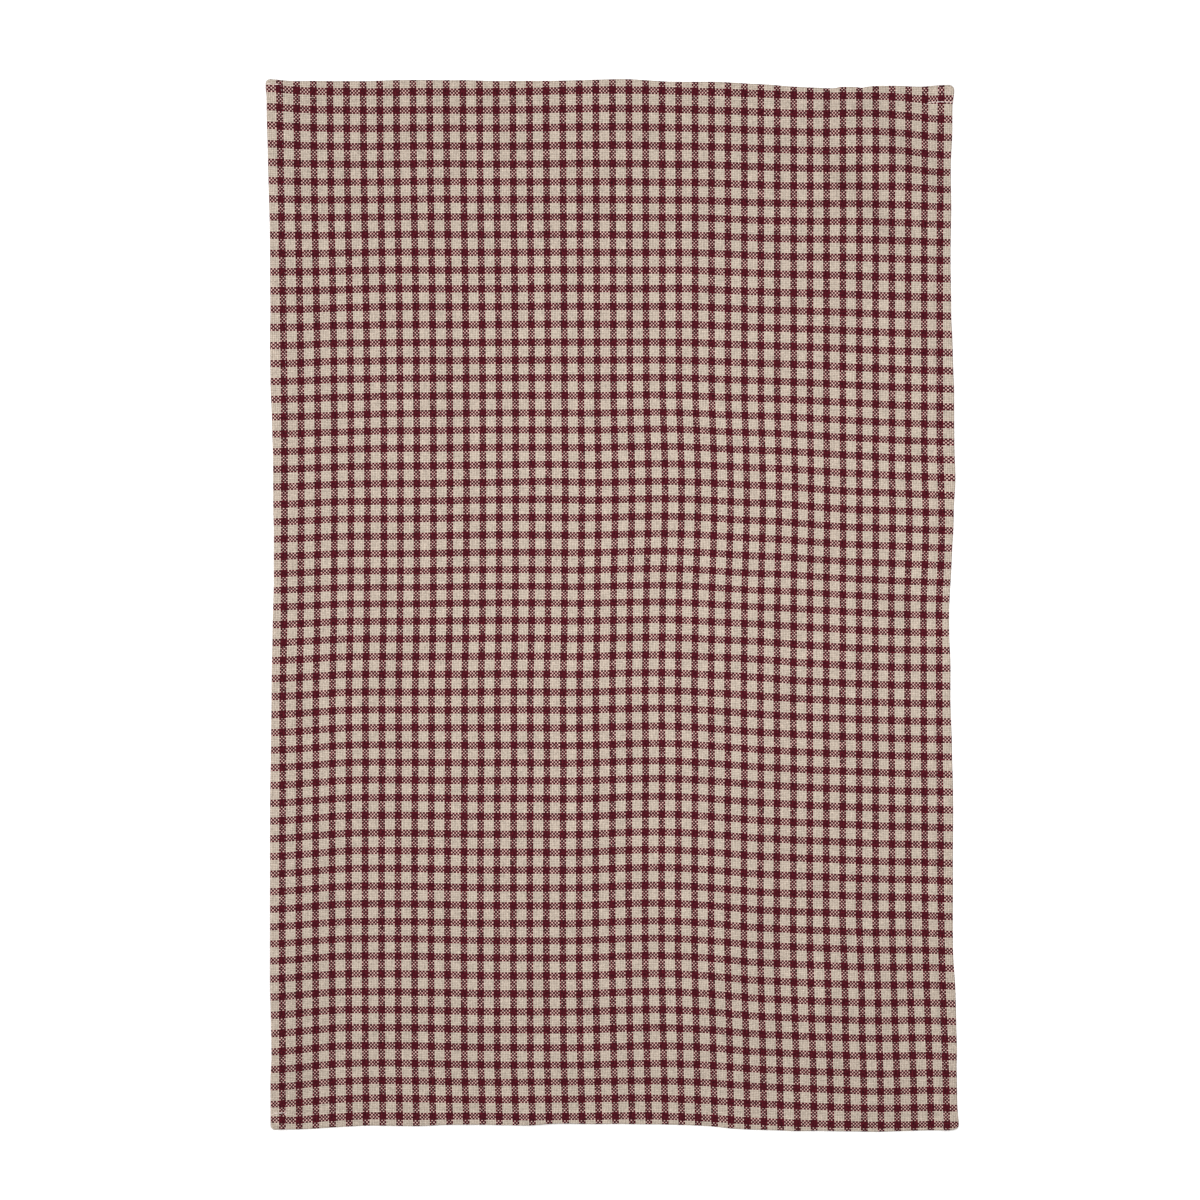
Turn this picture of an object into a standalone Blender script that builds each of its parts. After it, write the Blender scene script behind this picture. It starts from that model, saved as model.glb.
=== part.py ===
"""Tea towel: one cut length of small-check cotton, hemmed on all four sides, lying face up and nearly flat.

Metres, +Z up. +X is across the towel and +Y is along it, towards the end that is at the top when it is shown
upright. The towel rests on z = 0, and the origin is under the middle of its outline.
"""

import math
from collections import namedtuple

import bmesh
import bpy

MM = 0.001

# The check: burgundy stripes and the pitch between them, with a plain margin outside the last ones.
STRIPES_ACROSS, STRIPES_ALONG = 41, 59
PITCH_ACROSS, PITCH_ALONG = 11.11 * MM, 11.91 * MM
MARGIN_ACROSS, MARGIN_ALONG = 8.2 * MM, 6.9 * MM
WIDTH = (STRIPES_ACROSS - 1) * PITCH_ACROSS + 2 * MARGIN_ACROSS
LENGTH = (STRIPES_ALONG - 1) * PITCH_ALONG + 2 * MARGIN_ALONG

# Thickness of one layer, of a hem turned twice and pressed, and of a corner where two hems cross.
LAYER, HEM, CORNER = 1.0 * MM, 2.4 * MM, 3.4 * MM
SIDE_HEM, END_HEM = 10.8 * MM, 11.5 * MM  # finished widths of the hems
HEM_STEP = 0.8 * MM  # how far the turned-in edge takes to end, underneath
HEM_FALL = 16 * MM  # how far the cloth takes to come down from a hem to the surface
EDGE_ROUND = 2.5 * MM  # radius of the towel's corners, and width of the hem's rounded edge
EDGE_DROP = 0.5 * MM  # how much lower the outermost edge of a hem is
CELL = 13.5 * MM  # facet size away from the hems

# How the cloth lies. The right side sits a little lower than the left, and two short tables hold the rest.
RACK = 0.0134

# In-plane pulls: each one fades to nothing at its reach from its middle. The places and reaches were chosen,
# and the shifts were fitted to how the stripes wander and then rounded. All in millimetres.
Pull = namedtuple("Pull", "name across along reach_across reach_along shift_across shift_along")
PULLS = (
    Pull("top edge drawn up", 0, 400, 999, 140, 0.0, 2.0),
    Pull("arch at the top", 30, 370, 150, 110, 0.0, 3.0),
    Pull("dip beside the top corner", 185, 350, 55, 90, 0.0, 1.0),
    Pull("lift below the dip", 95, 230, 90, 120, 0.0, 1.8),
    Pull("left shoulder", -250, 170, 110, 170, 0.0, -3.8),
    Pull("left hem hangs back", -245, -120, 75, 330, 0.0, -3.8),
    Pull("right shoulder", 250, 90, 150, 230, 0.0, -4.0),
    Pull("right hem hangs back", 245, -230, 110, 220, 0.0, -3.4),
    Pull("belly", 20, -140, 230, 420, 0.0, 1.9),
    Pull("middle ridge", 35, -140, 70, 430, 0.0, 2.8),
    Pull("top left drawn out", -260, 380, 340, 230, -1.8, 0.0),
    Pull("left waist", -150, 80, 260, 230, 1.4, 0.0),
    Pull("kick in the middle", 60, 75, 120, 80, 1.7, 0.0),
    Pull("right waist", 260, 20, 110, 230, -1.6, 0.0),
    Pull("bottom drawn right", -20, -390, 200, 90, 1.9, 0.0),
    Pull("bottom right corner out", 260, -390, 190, 230, 3.8, 0.0),
)

# Soft folds: each one rises along a course of points (across, along, height). Going along the course, its
# right-hand side can be wider than the other. All in millimetres.
Fold = namedtuple("Fold", "name half_width course right_wider", defaults=(1.0,))
FOLDS = (
    Fold("middle ridge", 58,
         ((66, 40, 0.4), (64, -60, 0.8), (68, -160, 2.0), (74, -250, 2.2), (80, -310, 0.6))),
    Fold("low ridge beside it", 46, ((0, 40, 0.5), (-12, -40, 1.8), (-10, -120, 1.8), (-4, -190, 0.6))),
    Fold("crease across the top corner", 15,
         ((164, 338, 0.8), (182, 318, 2.1), (206, 290, 2.0), (224, 268, 1.2)), 1.7),
    Fold("short crease inside it", 16,
         ((132, 302, 0.8), (150, 284, 2.4), (170, 263, 2.4), (182, 250, 0.5)), 3.6),
    Fold("corner raised", 46, ((230, 362, 3.0), (250, 344, 3.0))),
    Fold("top hem bulge", 32, ((-18, 380, 2.6), (6, 325, 0.8))),
    Fold("top hem waver", 20, ((126, 380, 2.0), (142, 335, 1.0))),
    Fold("bottom hem arch", 60, ((-90, -390, 2.0), (-35, -385, 2.4), (-45, -320, 0.8))),
    Fold("swell above the bottom hem", 26,
         ((-60, -308, 0.5), (-22, -314, 1.4), (20, -314, 1.2), (58, -320, 0.4))),
    Fold("bottom right waver", 30, ((150, -388, 1.6), (138, -340, 0.6))),
    Fold("bottom left swell", 48, ((-242, -190, 1.0), (-242, -250, 2.6), (-234, -300, 0.8))),
    Fold("left hem waver", 42, ((-255, 62, 1.8), (-200, 26, 0.6))),
    Fold("left field swell", 52, ((-160, 216, 1.2), (-142, 150, 3.0), (-134, 70, 2.0), (-140, 20, 0.6))),
    Fold("lower left field swell", 48, ((-186, 10, 0.8), (-178, -60, 2.4), (-182, -120, 0.8))),
    Fold("right hem waver", 38, ((255, -6, 1.8), (196, -56, 0.6))),
    Fold("right side swell", 54, ((220, 236, 1.6), (221, 170, 2.2), (215, 100, 3.0), (210, 30, 1.0))),
    Fold("lower right swell", 48, ((150, -196, 0.8), (156, -256, 2.8), (162, -312, 0.8))),
)
MOST_LIFT = 6.0 * MM  # folds that meet add up towards this

CLOTH_COLOUR = (0.30, 0.18, 0.16, 1.0)  # burgundy and beige seen together, linear
CLOTH_ROUGHNESS = 0.9


def swell(share):
    """1 at the middle of a pull or fold, 0 from its reach on, level at both."""
    return (1 - share * share) ** 2 if share < 1 else 0.0


def ease(share):
    """0 to 1 with level ends."""
    share = min(max(share, 0.0), 1.0)
    return share * share * (3 - 2 * share)


def pulled(across, along):
    """Where a point of the flat cloth lies, seen from above."""
    x, y = across, along - RACK * across
    for pull in PULLS:
        share = math.hypot(
            (across / MM - pull.across) / pull.reach_across,
            (along / MM - pull.along) / pull.reach_along,
        )
        x += pull.shift_across * MM * swell(share)
        y += pull.shift_along * MM * swell(share)
    return x, y


def fold_height(fold, across, along):
    """Height of one fold over this point, from the part of its course that is highest there."""
    highest = 0.0
    for start, end in zip(fold.course, fold.course[1:]):
        run_x, run_y = end[0] - start[0], end[1] - start[1]
        off_x, off_y = across - start[0], along - start[1]
        share = (off_x * run_x + off_y * run_y) / (run_x * run_x + run_y * run_y)
        share = min(max(share, 0.0), 1.0)
        away = max(math.hypot(off_x - share * run_x, off_y - share * run_y), 1e-6)
        right_hand = 0.5 - 0.5 * (run_x * off_y - run_y * off_x) / (math.hypot(run_x, run_y) * away)
        reach = fold.half_width * (1 + (fold.right_wider - 1) * right_hand)
        height = start[2] + (end[2] - start[2]) * share
        highest = max(highest, height * swell(away / reach))
    return highest


def lift(across, along):
    """Height of the cloth's underside above the surface in the open cloth: 0 wherever no fold reaches."""
    left = 1.0
    for fold in FOLDS:
        left *= 1 - fold_height(fold, across / MM, along / MM) * MM / MOST_LIFT
    return MOST_LIFT * (1 - left)


def layered(side, end):
    """Thickness where the side hem and the end hem are there by these shares."""
    return LAYER + (HEM - LAYER) * max(side, end) + (CORNER - HEM) * min(side, end)


def section(inside, hem):
    """The hem's shares this far inside an edge: in the thickness, and in the height of the upper face."""
    return float(inside < hem + HEM_STEP / 2), 1 - ease((inside - hem) / HEM_FALL)


def stations(size, hem):
    """Grid lines over a size, from its lower edge: close together at each hem, then about a cell apart."""
    near = [0.0, EDGE_ROUND, hem, hem + HEM_STEP, hem + HEM_FALL]
    open_cloth = size - 2 * near[-1]
    cells = round(open_cloth / CELL)
    middle = [near[-1] + open_cloth * i / cells for i in range(1, cells)]
    return near + middle + [size - at for at in reversed(near)]


def cloth_material():
    material = bpy.data.materials.new("checked_cotton")
    material.use_nodes = True
    shader = material.node_tree.nodes["Principled BSDF"]
    shader.inputs["Base Color"].default_value = CLOTH_COLOUR
    shader.inputs["Roughness"].default_value = CLOTH_ROUGHNESS
    shader.inputs["Metallic"].default_value = 0.0
    return material


def make_towel(collection):
    """The upper face is a grid laid on its folds, and Solidify gives it its layers underneath."""
    columns, rows = stations(WIDTH, SIDE_HEM), stations(LENGTH, END_HEM)
    sheet = bmesh.new()
    bmesh.ops.create_grid(sheet, x_segments=len(columns) - 1, y_segments=len(rows) - 1, size=1.0)
    sheet.verts.ensure_lookup_table()
    corner_in = EDGE_ROUND * (1 - math.sqrt(0.5))
    thick = []
    for vert in sheet.verts:
        column = round((vert.co.x + 1) / 2 * (len(columns) - 1))
        row = round((vert.co.y + 1) / 2 * (len(rows) - 1))
        across, along = columns[column] - WIDTH / 2, rows[row] - LENGTH / 2
        inside_side, inside_end = WIDTH / 2 - abs(across), LENGTH / 2 - abs(along)
        side, side_top = section(inside_side, SIDE_HEM)
        end, end_top = section(inside_end, END_HEM)
        on_edge = min(inside_side, inside_end) < EDGE_ROUND / 2
        drop = EDGE_DROP if on_edge else 0.0
        if max(inside_side, inside_end) < EDGE_ROUND / 2:
            across -= math.copysign(corner_in, across)
            along -= math.copysign(corner_in, along)
        x, y = pulled(across, along)
        vert.co = (x, y, layered(side_top, end_top) + lift(across, along) - drop)
        thick.append(layered(side, end) - drop)

    middle = [(min(v.co[i] for v in sheet.verts) + max(v.co[i] for v in sheet.verts)) / 2 for i in (0, 1)]
    bmesh.ops.translate(sheet, verts=sheet.verts, vec=(-middle[0], -middle[1], 0.0))
    mesh = bpy.data.meshes.new("tea_towel")
    sheet.to_mesh(mesh)
    sheet.free()
    mesh.materials.append(cloth_material())
    towel = bpy.data.objects.new("tea_towel", mesh)
    collection.objects.link(towel)

    layers = towel.vertex_groups.new(name="layers")
    for index, thickness in enumerate(thick):
        layers.add([index], (thickness - LAYER) / (CORNER - LAYER), "REPLACE")
    solidify = towel.modifiers.new("layers", "SOLIDIFY")
    solidify.thickness = CORNER
    solidify.offset = -1.0
    solidify.vertex_group = layers.name
    solidify.thickness_vertex_group = LAYER / CORNER
    return towel


def main():
    for old in list(bpy.data.objects):
        bpy.data.objects.remove(old, do_unlink=True)
    collection = bpy.data.collections.new("tea_towel")
    bpy.context.scene.collection.children.link(collection)
    make_towel(collection)


main()
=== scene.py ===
import math
from collections import namedtuple

import bpy
import numpy as np
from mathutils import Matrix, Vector, noise


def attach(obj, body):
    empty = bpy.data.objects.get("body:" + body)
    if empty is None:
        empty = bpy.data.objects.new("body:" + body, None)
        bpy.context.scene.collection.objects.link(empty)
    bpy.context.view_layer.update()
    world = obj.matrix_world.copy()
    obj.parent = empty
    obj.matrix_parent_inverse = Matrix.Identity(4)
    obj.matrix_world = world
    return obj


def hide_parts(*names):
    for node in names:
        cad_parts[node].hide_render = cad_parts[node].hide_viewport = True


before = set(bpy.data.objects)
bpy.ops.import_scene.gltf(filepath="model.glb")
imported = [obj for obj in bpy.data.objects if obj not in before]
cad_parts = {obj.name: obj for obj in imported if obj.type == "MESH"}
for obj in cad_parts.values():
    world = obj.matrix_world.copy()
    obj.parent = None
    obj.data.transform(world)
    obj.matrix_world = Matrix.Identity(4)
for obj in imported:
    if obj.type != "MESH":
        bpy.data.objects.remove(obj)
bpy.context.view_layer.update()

# The looks of the tea towel: its cloth, whose finish works out each thread of the weave, and the stitching of
# its hems. The cloth's sizes are in millimetres, and become metres where its meshes are made.
MM = 0.001

# ----------------------------------------------------------------------------------------------------------
# The check: 41 burgundy stripes by 59, in a plain weave. A repeat is 4 burgundy threads and 6 beige ones,
# both ways.
STRIPES_ACROSS, STRIPES_ALONG = 41, 59
PITCH_ACROSS, PITCH_ALONG = 11.11, 11.91  # mm
MARGIN_ACROSS, MARGIN_ALONG = 8.2, 6.9  # mm, from the last stripes' middles to the hems' edges
WIDTH = (STRIPES_ACROSS - 1) * PITCH_ACROSS + 2 * MARGIN_ACROSS
LENGTH = (STRIPES_ALONG - 1) * PITCH_ALONG + 2 * MARGIN_ALONG
THREADS = 10  # in a repeat
BURGUNDY_THREADS = 4

# The layers of the open cloth, of a hem and of a corner where two hems cross, and the hems' widths. In mm.
LAYER, HEM, CORNER = 1.0, 2.4, 3.2
SIDE_HEM, END_HEM = 10.8, 11.5
STEP_START, HEM_STEP = 0.2, 0.7  # where the step underneath starts, past a hem's inner edge, and its width
STEP_MIDDLE = 0.5  # up to this far past that edge, the skin counts as hem
HEM_FALL = 15.0  # how far the upper face takes to come down from a hem
CORNER_SHORT, CORNER_FALL = 0.4, 2.6  # a corner's layers end from just short of each inner edge, over this
EDGE_ROUND = 1.15  # half the thickness of a hem's folded edge
EDGE_FULLNESS = 0.8  # at 1 that edge would be round, and below it is fuller
CORNER_ROUND = 3.0
SEAM_IN = 0.7  # the stitching runs on the hem, this far from its inner edge
SEAM_DENT, UNDER_DENT, SEAM_DENT_WIDTH = 0.35, 0.22, 2.4
CLEAR = 0.02  # lowest height of the underside

# Between the edge and the seam a hem is puffed a little, and puckers at every second or third stitch. In mm.
PUFF, PUFF_MIDDLE, PUFF_REACH = 0.10, 0.45, 0.5  # the last two as shares of the hem's width
PUCKER, PUCKER_PITCH = 0.16, 7.3
PUCKER_DRIFT, PUCKER_DRIFT_LENGTH = 1.7, 23  # the puckers come sooner and later by up to this many radians

# How the cloth lies, as in the solid.
RACK = 0.0134  # slope: the right side sits a little lower than the left
MIDDLE = (0.85, -0.08)  # middle of the pulled outline, in mm, which is the origin

# The places and reaches of these pulls were chosen, and their shifts were fitted to how the stripes wander
# and then rounded.
Pull = namedtuple("Pull", "name across along reach_across reach_along shift_across shift_along")
PULLS = (
    Pull("top edge drawn up", 0, 400, 999, 140, 0.0, 2.0),
    Pull("arch at the top", 30, 370, 150, 110, 0.0, 3.0),
    Pull("dip beside the top corner", 185, 350, 55, 90, 0.0, 1.0),
    Pull("lift below the dip", 95, 230, 90, 120, 0.0, 1.8),
    Pull("left shoulder", -250, 170, 110, 170, 0.0, -3.8),
    Pull("left hem hangs back", -245, -120, 75, 330, 0.0, -3.8),
    Pull("right shoulder", 250, 90, 150, 230, 0.0, -4.0),
    Pull("right hem hangs back", 245, -230, 110, 220, 0.0, -3.4),
    Pull("belly", 20, -140, 230, 420, 0.0, 1.9),
    Pull("middle ridge", 35, -140, 70, 430, 0.0, 2.8),
    Pull("top left drawn out", -260, 380, 340, 230, -1.8, 0.0),
    Pull("left waist", -150, 80, 260, 230, 1.4, 0.0),
    Pull("kick in the middle", 60, 75, 120, 80, 1.7, 0.0),
    Pull("right waist", 260, 20, 110, 230, -1.6, 0.0),
    Pull("bottom drawn right", -20, -390, 200, 90, 1.9, 0.0),
    Pull("bottom right corner out", 260, -390, 190, 230, 3.8, 0.0),
)
# Smaller pulls within those. The shifts down to "belt lower down" were mostly fitted in the same way, and the
# ones below it were set one by one.
FINE_PULLS = (
    Pull("slack under the arch", 0, 225, 110, 150, 0.0, 1.3),
    Pull("left of the middle", -170, 120, 100, 180, 0.0, -1.2),
    Pull("beside the top crease", 111, 235, 65, 110, 0.0, -1.4),
    Pull("over the kick", 55, 80, 110, 100, 0.0, 0.8),
    Pull("right flank", 165, -75, 85, 130, 0.0, -1.7),
    Pull("lower right flank", 140, -270, 80, 190, 0.0, -1.7),
    Pull("lower left flank", -155, -210, 80, 260, 0.0, 1.2),
    Pull("bottom left corner down", -240, -350, 80, 120, 0.0, -3.4),
    Pull("right hem, lower part", 222, -270, 55, 190, 0.0, 1.6),
    Pull("left hem, middle", -225, 50, 60, 110, 0.0, -0.7),
    Pull("inside the corner crease", 190, 280, 55, 70, 0.0, 0.5),
    Pull("top right corner", 225, 335, 40, 60, 0.0, -1.9),
    Pull("under the top left corner", -180, 300, 70, 90, 0.0, -1.3),
    Pull("middle of the bottom", -20, -348, 70, 60, 0.0, 1.2),
    Pull("left of the ridge", -60, -20, 90, 200, 0.0, 0.9),
    Pull("full in the middle", 0, 100, 330, 999, 0.8, 0.0),
    Pull("bottom right drawn out", 110, -335, 210, 110, 1.8, 0.0),
    Pull("right waist let out", 245, 60, 90, 60, 1.9, 0.0),
    Pull("right shoulder drawn in", 250, 220, 90, 130, -0.9, 0.0),
    Pull("belt across the middle", -60, -60, 400, 50, -0.5, 0.0),
    Pull("belt lower down", -30, -200, 300, 110, -0.4, 0.0),
    Pull("top right corner let out", 230, 364, 32, 26, 0.0, 3.0),
    Pull("last stripe on the right", 222, 0, 11, 9999, -0.6, 0.0),
    Pull("under the top right corner", 222, 288, 30, 60, 0.0, -0.9),
    Pull("over the corner crease", 166, 328, 28, 32, 0.0, 0.9),
    Pull("top left corner let out", -230, 346, 26, 60, -0.5, 0.9),
    Pull("bottom left corner up", -230, -348, 18, 15, 0.0, 1.7),
    Pull("left of the bottom", -125, -345, 110, 45, 0.8, 0.0),
    Pull("last row, left of the middle", -95, -348, 42, 16, 0.0, 1.0),
    Pull("lower right slack", 178, -325, 45, 30, 0.0, -0.8),
    Pull("bottom right corner up", 228, -350, 32, 15, 0.0, 0.7),
    Pull("lower right drawn out", 161, -244, 42, 42, 0.8, 0.0),
    Pull("inside the left shoulder", -189, 172, 32, 42, 0.0, 0.9),
    Pull("right of the middle", 95, -35, 36, 46, 0.0, 0.9),
    Pull("left of the kick", -44, 83, 36, 28, 0.0, 0.8),
    Pull("below the short crease", 150, 58, 48, 52, 0.0, -0.9),
)
# The weft was beaten up unevenly: how far each of these burgundy rows, counted from the top, was measured to
# lie off its place.
Beat = namedtuple("Beat", "row off")
BEATS = (
    Beat(0, 0.1), Beat(7, 0.9), Beat(10, 0.7), Beat(11, 0.0), Beat(15, -0.6), Beat(18, -0.6),
    Beat(19, -0.1), Beat(24, -0.4), Beat(27, -0.3), Beat(29, 1.1), Beat(31, 0.8), Beat(36, -0.1),
    Beat(38, 0.2), Beat(42, -0.2), Beat(47, -0.5), Beat(49, 0.2), Beat(54, -0.5), Beat(58, 0.4),
)

# Each fold rises along a course of points (across, along, height). Going along the course, its right-hand
# side can be wider than the other. All in mm.
Fold = namedtuple("Fold", "name half_width course right_wider", defaults=(1.0,))
FOLDS = (
    Fold("middle ridge", 58,
         ((66, 40, 0.4), (64, -60, 0.8), (68, -160, 2.0), (74, -250, 2.2), (80, -310, 0.6))),
    Fold("low ridge beside it", 46, ((0, 40, 0.5), (-12, -40, 1.8), (-10, -120, 1.8), (-4, -190, 0.6))),
    Fold("crease across the top corner", 15,
         ((164, 338, 0.8), (182, 318, 2.1), (206, 290, 2.0), (224, 268, 1.2)), 1.7),
    Fold("short crease inside it", 16,
         ((132, 302, 0.8), (150, 284, 2.4), (170, 263, 2.4), (182, 250, 0.5)), 3.6),
    Fold("corner raised", 46, ((230, 362, 3.0), (250, 344, 3.0))),
    Fold("top hem bulge", 32, ((-18, 380, 2.6), (6, 325, 0.8))),
    Fold("top hem waver", 20, ((126, 380, 2.0), (142, 335, 1.0))),
    Fold("bottom hem arch", 60, ((-90, -390, 2.0), (-35, -385, 2.4), (-45, -320, 0.8))),
    Fold("swell above the bottom hem", 26,
         ((-60, -308, 0.5), (-22, -314, 1.4), (20, -314, 1.2), (58, -320, 0.4))),
    Fold("bottom right waver", 30, ((150, -388, 1.6), (138, -340, 0.6))),
    Fold("bottom left swell", 48, ((-242, -190, 1.0), (-242, -250, 2.6), (-234, -300, 0.8))),
    Fold("left hem waver", 42, ((-255, 62, 1.8), (-200, 26, 0.6))),
    Fold("left field swell", 52, ((-160, 216, 1.2), (-142, 150, 3.0), (-134, 70, 2.0), (-140, 20, 0.6))),
    Fold("lower left field swell", 48, ((-186, 10, 0.8), (-178, -60, 2.4), (-182, -120, 0.8))),
    Fold("right hem waver", 38, ((255, -6, 1.8), (196, -56, 0.6))),
    Fold("right side swell", 54, ((220, 236, 1.6), (221, 170, 2.2), (215, 100, 3.0), (210, 30, 1.0))),
    Fold("lower right swell", 48, ((150, -196, 0.8), (156, -256, 2.8), (162, -312, 0.8))),
)
MOST_LIFT = 6.0  # folds that meet add up towards this

# The hems were turned by eye: how far each edge was measured to lie outside its usual thread, at places
# chosen along it. All in mm.
Turn = namedtuple("Turn", "at out")
LEFT_TURNS = (
    Turn(-350, -0.2), Turn(-320, 0.0), Turn(-300, -0.7), Turn(-250, 0.1), Turn(-131, 0.3), Turn(-64, -0.5),
    Turn(-15, -0.5), Turn(20, -1.2), Turn(50, -1.2), Turn(71, -0.6), Turn(100, -0.5), Turn(125, 0.1),
    Turn(155, 1.0), Turn(179, 1.1), Turn(206, 0.4), Turn(253, -0.1), Turn(300, 0.3), Turn(322, 0.6),
    Turn(340, 0.6), Turn(347, 1.1), Turn(352, 1.0),
)
RIGHT_TURNS = (
    Turn(-350, -0.4), Turn(-331, -1.1), Turn(-307, -1.0), Turn(-290, -0.3), Turn(-255, 0.1), Turn(-226, -0.8),
    Turn(-172, -0.1), Turn(-118, 0.3), Turn(-91, 0.0), Turn(-55, -0.8), Turn(-37, -0.7), Turn(-10, -1.5),
    Turn(44, -1.1), Turn(71, -0.3), Turn(98, 1.4), Turn(150, 1.3), Turn(179, 0.4), Turn(206, -0.6),
    Turn(240, -1.1), Turn(275, -0.9), Turn(300, -1.3), Turn(328, -0.6), Turn(340, -0.7), Turn(350, 0.3),
)
BOTTOM_TURNS = (
    Turn(-230, 0.3), Turn(-215, -0.5), Turn(-200, 0.0), Turn(-143, -0.1), Turn(-102, -0.9), Turn(-82, -0.9),
    Turn(-62, -0.9), Turn(-38, -2.0), Turn(-10, -1.5), Turn(20, -1.1), Turn(60, -1.4), Turn(80, -0.8),
    Turn(118, -1.3), Turn(141, -2.1), Turn(170, -1.9), Turn(205, -2.5), Turn(222, -2.4), Turn(231, -3.6),
)
TOP_TURNS = (
    Turn(-232, -0.5), Turn(-217, -0.8), Turn(-196, 0.1), Turn(-170, 0.3), Turn(-143, 1.0), Turn(-102, 1.1),
    Turn(-75, 0.4), Turn(-21, -0.2), Turn(8, 0.4), Turn(39, -0.7), Turn(73, 0.0), Turn(100, -0.5),
    Turn(134, -1.4), Turn(149, -1.6), Turn(154, -0.6), Turn(163, -0.6), Turn(168, -1.3), Turn(174, -0.1),
    Turn(181, 0.4), Turn(205, 0.9), Turn(224, 1.3), Turn(232, 1.2),
)
TURN_FADE = 30.0  # how far inside an edge its wandering is no longer felt
# Where an edge lies further out than this, its last threads spread over this width, and the next stripe stays
# turned under.
SIDE_SPARE, END_SPARE, SPREAD = 0.0, 1.8, 6.5

# The cloth's own small unevenness, in mm: soft noise with lumps of this size, read at its own depth.
Crumple = namedtuple("Crumple", "across along depth share")
CRUMPLES = (Crumple(30, 36, 3.1, 1.0), Crumple(13, 16, 8.4, 0.45))
CRUMPLE_MIDDLE, CRUMPLE_HEIGHT = 0.5, 0.9


def swell(share):
    """1 at the middle of a pull or fold, 0 from its reach on, level at both."""
    return np.where(share < 1, (1 - np.minimum(share, 1) ** 2) ** 2, 0.0)


def ease(share):
    """0 to 1 with level ends."""
    share = np.clip(share, 0.0, 1.0)
    return share * share * (3 - 2 * share)


def turned_out(at, turns):
    """How far an edge lies outside its usual thread here, eased from one row of its table to the next."""
    row = np.interp(at, [turn.at for turn in turns], np.arange(len(turns)))
    whole = np.floor(row)
    return np.interp(whole + ease(row - whole), np.arange(len(turns)), [turn.out for turn in turns])


def side_turn(across, along):
    return np.where(across < 0, -turned_out(along, LEFT_TURNS), turned_out(along, RIGHT_TURNS))


def end_turn(across, along):
    return np.where(along < 0, -turned_out(across, BOTTOM_TURNS), turned_out(across, TOP_TURNS))


def of_cloth(across, along):
    """The place on the flat cloth that comes to lie at this place of an even towel."""
    side = 1 - ease((WIDTH / 2 - np.abs(across)) / TURN_FADE)
    end = 1 - ease((LENGTH / 2 - np.abs(along)) / TURN_FADE)
    return across + side * side_turn(across, along), along + end * end_turn(across, along)


def in_weave(across, along):
    """The place in the weave that shows at this place of an even towel."""
    inside_side, inside_end = WIDTH / 2 - np.abs(across), LENGTH / 2 - np.abs(along)
    a, b = of_cloth(across, along)
    side, end = side_turn(across, along), end_turn(across, along)
    side_over = np.sign(side) * np.maximum(np.abs(side) - SIDE_SPARE, 0) * (side * across > 0)
    end_over = np.sign(end) * np.maximum(np.abs(end) - END_SPARE, 0) * (end * along > 0)
    return a - side_over * (1 - ease(inside_side / SPREAD)), b - end_over * (1 - ease(inside_end / SPREAD))


def beaten(along):
    """How far the weft lies off its place here."""
    rows = [(STRIPES_ALONG - 1) / 2 * PITCH_ALONG - beat.row * PITCH_ALONG for beat in reversed(BEATS)]
    return np.interp(along, rows, [beat.off for beat in reversed(BEATS)])


def pulled(across, along):
    """Where a point of an even towel lies, seen from above, in mm about the origin."""
    across, along = of_cloth(across, along)
    x, y = across + 0.0, along - RACK * across + beaten(along)
    for pull in PULLS + FINE_PULLS:
        share = np.hypot((across - pull.across) / pull.reach_across, (along - pull.along) / pull.reach_along)
        x = x + pull.shift_across * swell(share)
        y = y + pull.shift_along * swell(share)
    return x - MIDDLE[0], y - MIDDLE[1]


def fold_height(fold, across, along):
    """Height of one fold over this place, from the part of its course that is highest there."""
    highest = np.zeros_like(across)
    for start, end in zip(fold.course, fold.course[1:]):
        run_x, run_y = end[0] - start[0], end[1] - start[1]
        off_x, off_y = across - start[0], along - start[1]
        share = np.clip((off_x * run_x + off_y * run_y) / (run_x**2 + run_y**2), 0.0, 1.0)
        away = np.maximum(np.hypot(off_x - share * run_x, off_y - share * run_y), 1e-6)
        right_hand = 0.5 - 0.5 * (run_x * off_y - run_y * off_x) / (math.hypot(run_x, run_y) * away)
        reach = fold.half_width * (1 + (fold.right_wider - 1) * right_hand)
        highest = np.maximum(highest, (start[2] + (end[2] - start[2]) * share) * swell(away / reach))
    return highest


def lift(across, along):
    """Height of the folds over this place."""
    left = np.ones_like(across)
    for fold in FOLDS:
        left = left * (1 - fold_height(fold, across, along) / MOST_LIFT)
    return MOST_LIFT * (1 - left)


def crumple(across, along):
    """The cloth's own small unevenness, 0 to about 1.5 mm."""
    soft = np.zeros(across.shape)
    for kind in CRUMPLES:
        places = zip((across / kind.across).ravel(), (along / kind.along).ravel())
        lumps = [noise.noise(Vector((a, b, kind.depth))) for a, b in places]
        soft = soft + kind.share * np.array(lumps).reshape(across.shape)
    return np.maximum(CRUMPLE_MIDDLE + CRUMPLE_HEIGHT * soft, 0.0)


# ----------------------------------------------------------------------------------------------------------
# The cloth: one closed skin. The upper face is a grid, its rim rolls round the folded edge, and the same grid
# comes back underneath with the step of each hem.
# an export keeps a piece's own map under this name
MAP = "OFBake"  # the name of the cloth's map of places on the flat cloth, which its finish reads
MAP_THREADS = 80  # threads to one width of the map, 8 whole repeats
ASIDE = 48 * PITCH_ACROSS  # the underside's place on the map: six whole widths along, clear of the upper face
CELL = 3.0  # size of the grid away from the hems, in mm
RIM_STEPS = 8  # around the folded edge

# Grid lines at a hem, in mm: inside its edge, about its seam, and past its inner edge.
EDGE_LINES = (1.9, 2.8, 4.2, 6.0, 7.8)
SEAM_LINES = (-1.2, -0.5, 0.0, 0.5)
FALL_LINES = (2.6, 5.0, 7.6, 10.2, 12.7, HEM_FALL)


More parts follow.
